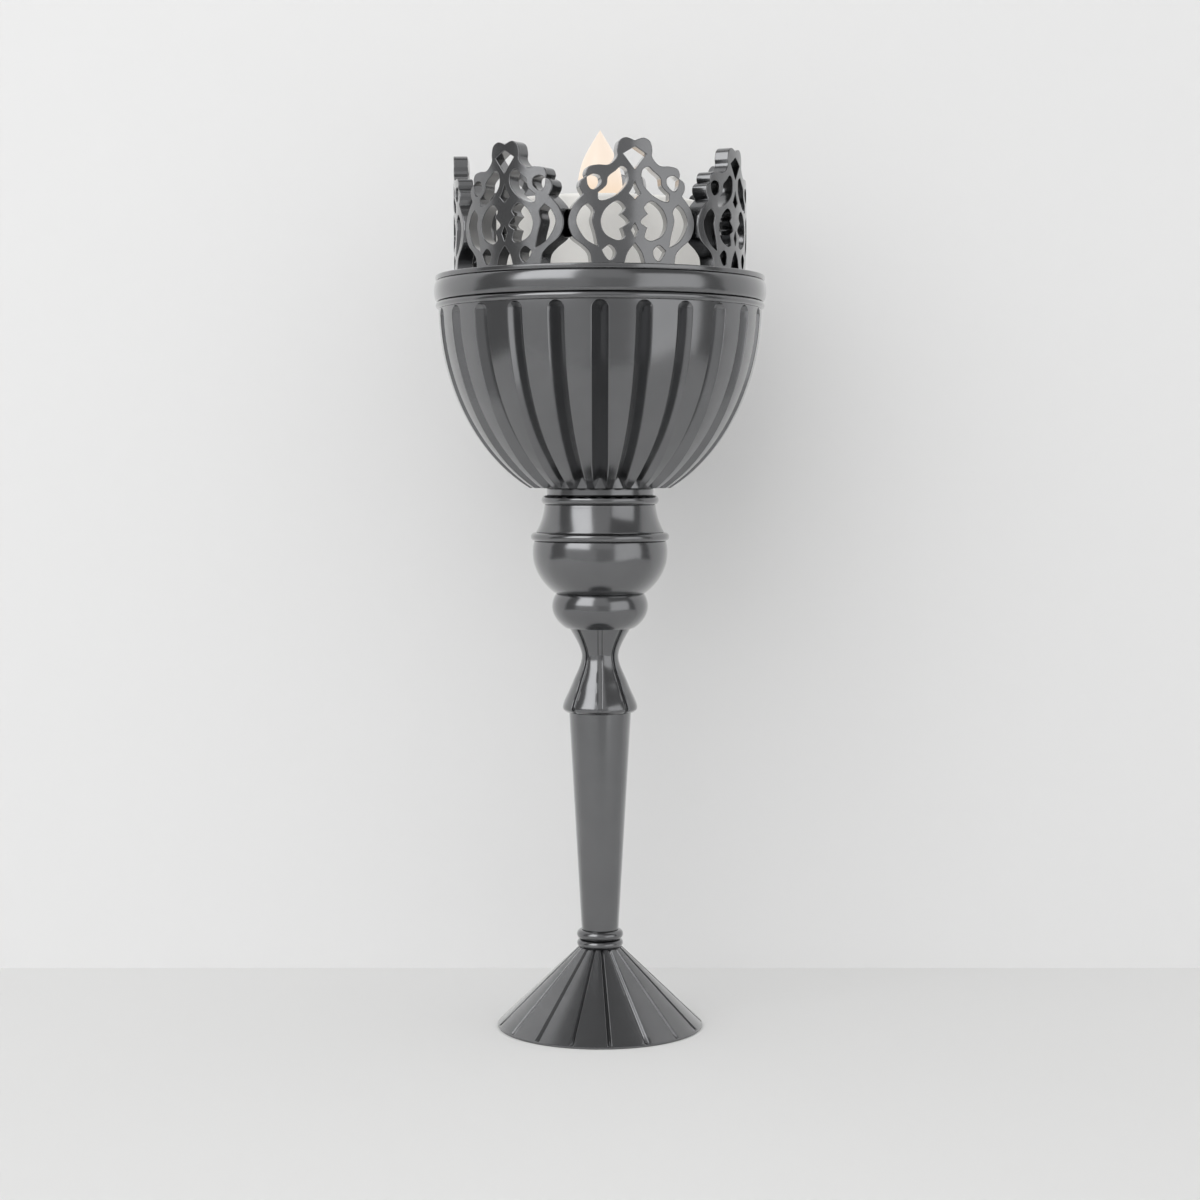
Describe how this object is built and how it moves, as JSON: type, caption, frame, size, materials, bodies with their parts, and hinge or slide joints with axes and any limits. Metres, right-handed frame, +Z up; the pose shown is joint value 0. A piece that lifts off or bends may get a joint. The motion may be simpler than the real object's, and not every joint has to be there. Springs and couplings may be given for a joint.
{
  "type": "tea light holder",
  "caption": "Slender turned metal pedestal with a grooved foot, a fluted bowl and a pierced scrollwork crown, holding a battery tea light that lifts out.",
  "frame": {"origin": "centre of the foot's underside, on the surface that the holder stands on", "axes": "+Z up along the axis of the turned stack; the pictured front faces -Y, +X is to its right"},
  "size_m": [0.0594, 0.0594, 0.1613],
  "materials": {
    "metal": "dark grey satin casting",
    "fastener": "plain steel",
    "wax": "cream, wax-like",
    "flame": "translucent peach",
    "plastic": "off-white moulded plastic",
    "cell": "plated steel",
    "lens": "warm white resin",
    "contact": "spring strip"
  },
  "bodies": {
    "holder": {"foot": "metal", "lower_ring": "metal", "upper_ring": "metal", "stem": "metal", "neck": "metal", "lower_knop": "metal", "upper_knop": "metal", "knop_ring": "metal", "knop_cover": "metal", "knop_bead": "metal", "bowl_collar": "metal", "bowl": "metal", "rim_bead": "metal", "rim_band": "metal", "candle_cup": "metal", "crown_panel_1": "metal", "crown_panel_2": "metal", "crown_panel_3": "metal", "crown_panel_4": "metal", "crown_panel_5": "metal", "crown_panel_6": "metal", "crown_panel_7": "metal", "tie_bolt": "fastener", "lower_washer": "fastener", "upper_washer": "fastener", "tie_nut": "fastener"},
    "tea_light": {"candle_body": "wax", "flame": "flame", "battery_base": "plastic", "battery": "cell", "led": "lens", "contact_top": "contact", "contact_switch": "contact"},
    "door": {"battery_door": "plastic"},
    "switch": {"switch_slider": "plastic"}
  },
  "joints": [
    {"name": "tea_light_lift", "type": "slide", "parent": "holder", "child": "tea_light", "axis": [0, 0, 1], "range_m": [0, 0.035]},
    {"name": "door_turn", "type": "hinge", "parent": "tea_light", "child": "door", "pos_m": [0.0042, 0, 0.1285], "axis": [0, 0, 1], "range_deg": [0, 40]},
    {"name": "switch_slide", "type": "slide", "parent": "tea_light", "child": "switch", "axis": [0, 1, 0], "range_m": [0, 0.0024]}
  ]
}
